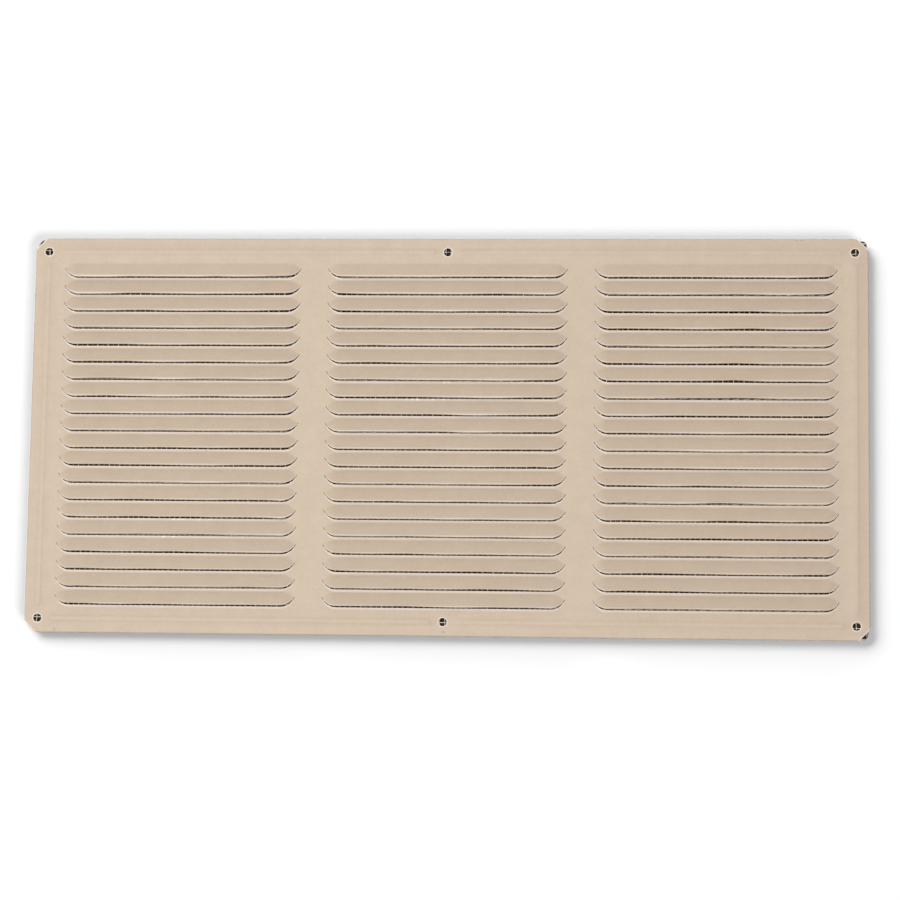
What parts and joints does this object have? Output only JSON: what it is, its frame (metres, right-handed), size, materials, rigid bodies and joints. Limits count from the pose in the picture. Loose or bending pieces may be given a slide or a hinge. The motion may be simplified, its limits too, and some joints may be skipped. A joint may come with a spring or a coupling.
{
  "type": "soffit vent",
  "caption": "Flat rectangular louvered soffit vent of painted sheet aluminium with hemmed edges, screw holes and a woven wire insect screen held behind it.",
  "frame": {"origin": "under the middle of the panel, on the plane that the hem returns rest on", "axes": "+X along the panel's length, +Y across it, away from the side that the slits open to, +Z out of the louvered face"},
  "size_m": [0.4064, 0.1938, 0.0057],
  "materials": {
    "painted_sheet": "satin baked enamel on aluminium, pale tan",
    "wire_cloth": "bright drawn wire, plain weave"
  },
  "bodies": {
    "root": {"louver_panel": "painted_sheet", "insect_screen": "wire_cloth"}
  },
  "joints": []
}
